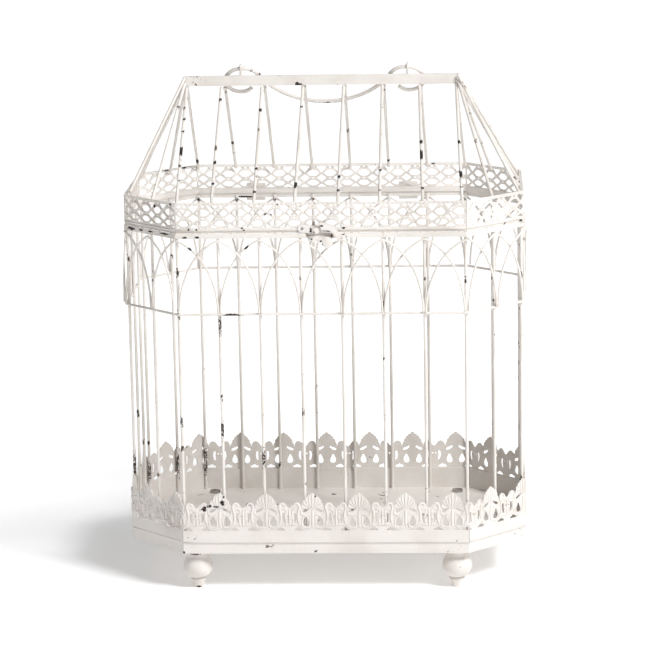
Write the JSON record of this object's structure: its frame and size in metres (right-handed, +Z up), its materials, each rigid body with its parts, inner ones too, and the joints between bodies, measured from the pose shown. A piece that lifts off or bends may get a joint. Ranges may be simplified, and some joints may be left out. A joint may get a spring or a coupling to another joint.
{
  "type": "wedding card box",
  "caption": "Octagonal wire birdcage card box on ball feet with a filigree base band, arched bars, a hinged roof lid, a hook latch and a scroll handle",
  "frame": {"origin": "on the ground under the middle of the box", "axes": "+Z up, the front with the latch faces -Y, the long side runs along X"},
  "size_m": [0.306, 0.1996, 0.3903],
  "materials": {
    "painted_steel": "antique white paint, chipped to dark metal at the edges",
    "wire_paint": "antique white paint on steel wire, small dark chips",
    "filigree_paint": "antique white paint on pierced sheet, worn on the raised edges",
    "cast_paint": "antique white paint on cast metal, chipped on the high points",
    "screw_steel": "plain steel"
  },
  "bodies": {
    "cage_body": {"tray_pan": "painted_steel", "gallery_strip": "filigree_paint", "foot_front_left": "cast_paint", "foot_front_right": "cast_paint", "foot_rear_right": "cast_paint", "foot_rear_left": "cast_paint", "foot_screws": "screw_steel", "bars_front": "wire_paint", "bars_rear": "wire_paint", "bars_left": "wire_paint", "bars_right": "wire_paint", "bars_chamfers": "wire_paint", "waist_ring": "wire_paint", "arches_front": "wire_paint", "arches_rear": "wire_paint", "arches_left": "wire_paint", "arches_right": "wire_paint", "arches_chamfers": "wire_paint", "body_rim": "painted_steel", "catch_plate": "painted_steel", "catch_stud": "cast_paint", "hinge_leaves_body": "painted_steel", "hinge_pins": "screw_steel"},
    "lid": {"lid_frame": "painted_steel", "lid_top_rail": "painted_steel", "lid_band": "filigree_paint", "ridge_bar": "painted_steel", "roof_wires_front": "wire_paint", "roof_wires_rear": "wire_paint", "roof_wires_left": "wire_paint", "roof_wires_right": "wire_paint", "roof_wires_chamfers": "wire_paint", "handle_eyelets": "wire_paint", "hinge_leaves_lid": "painted_steel", "latch_plate": "painted_steel", "latch_rivet": "cast_paint"},
    "handle": {"handle_wire": "wire_paint"},
    "latch": {"latch_hook": "cast_paint"}
  },
  "joints": [
    {"name": "lid_hinge", "type": "hinge", "parent": "cage_body", "child": "lid", "pos_m": [0, 0.0974, 0.27535], "axis": [-1, 0, 0], "range_deg": [0, 110]},
    {"name": "handle_swing", "type": "hinge", "parent": "lid", "child": "handle", "pos_m": [0, 0, 0.3865], "axis": [1, 0, 0], "range_deg": [0, 278]},
    {"name": "latch_swing", "type": "hinge", "parent": "lid", "child": "latch", "pos_m": [-0.0031, -0.0966, 0.278], "axis": [0, -1, 0], "range_deg": [-15, 75]}
  ]
}
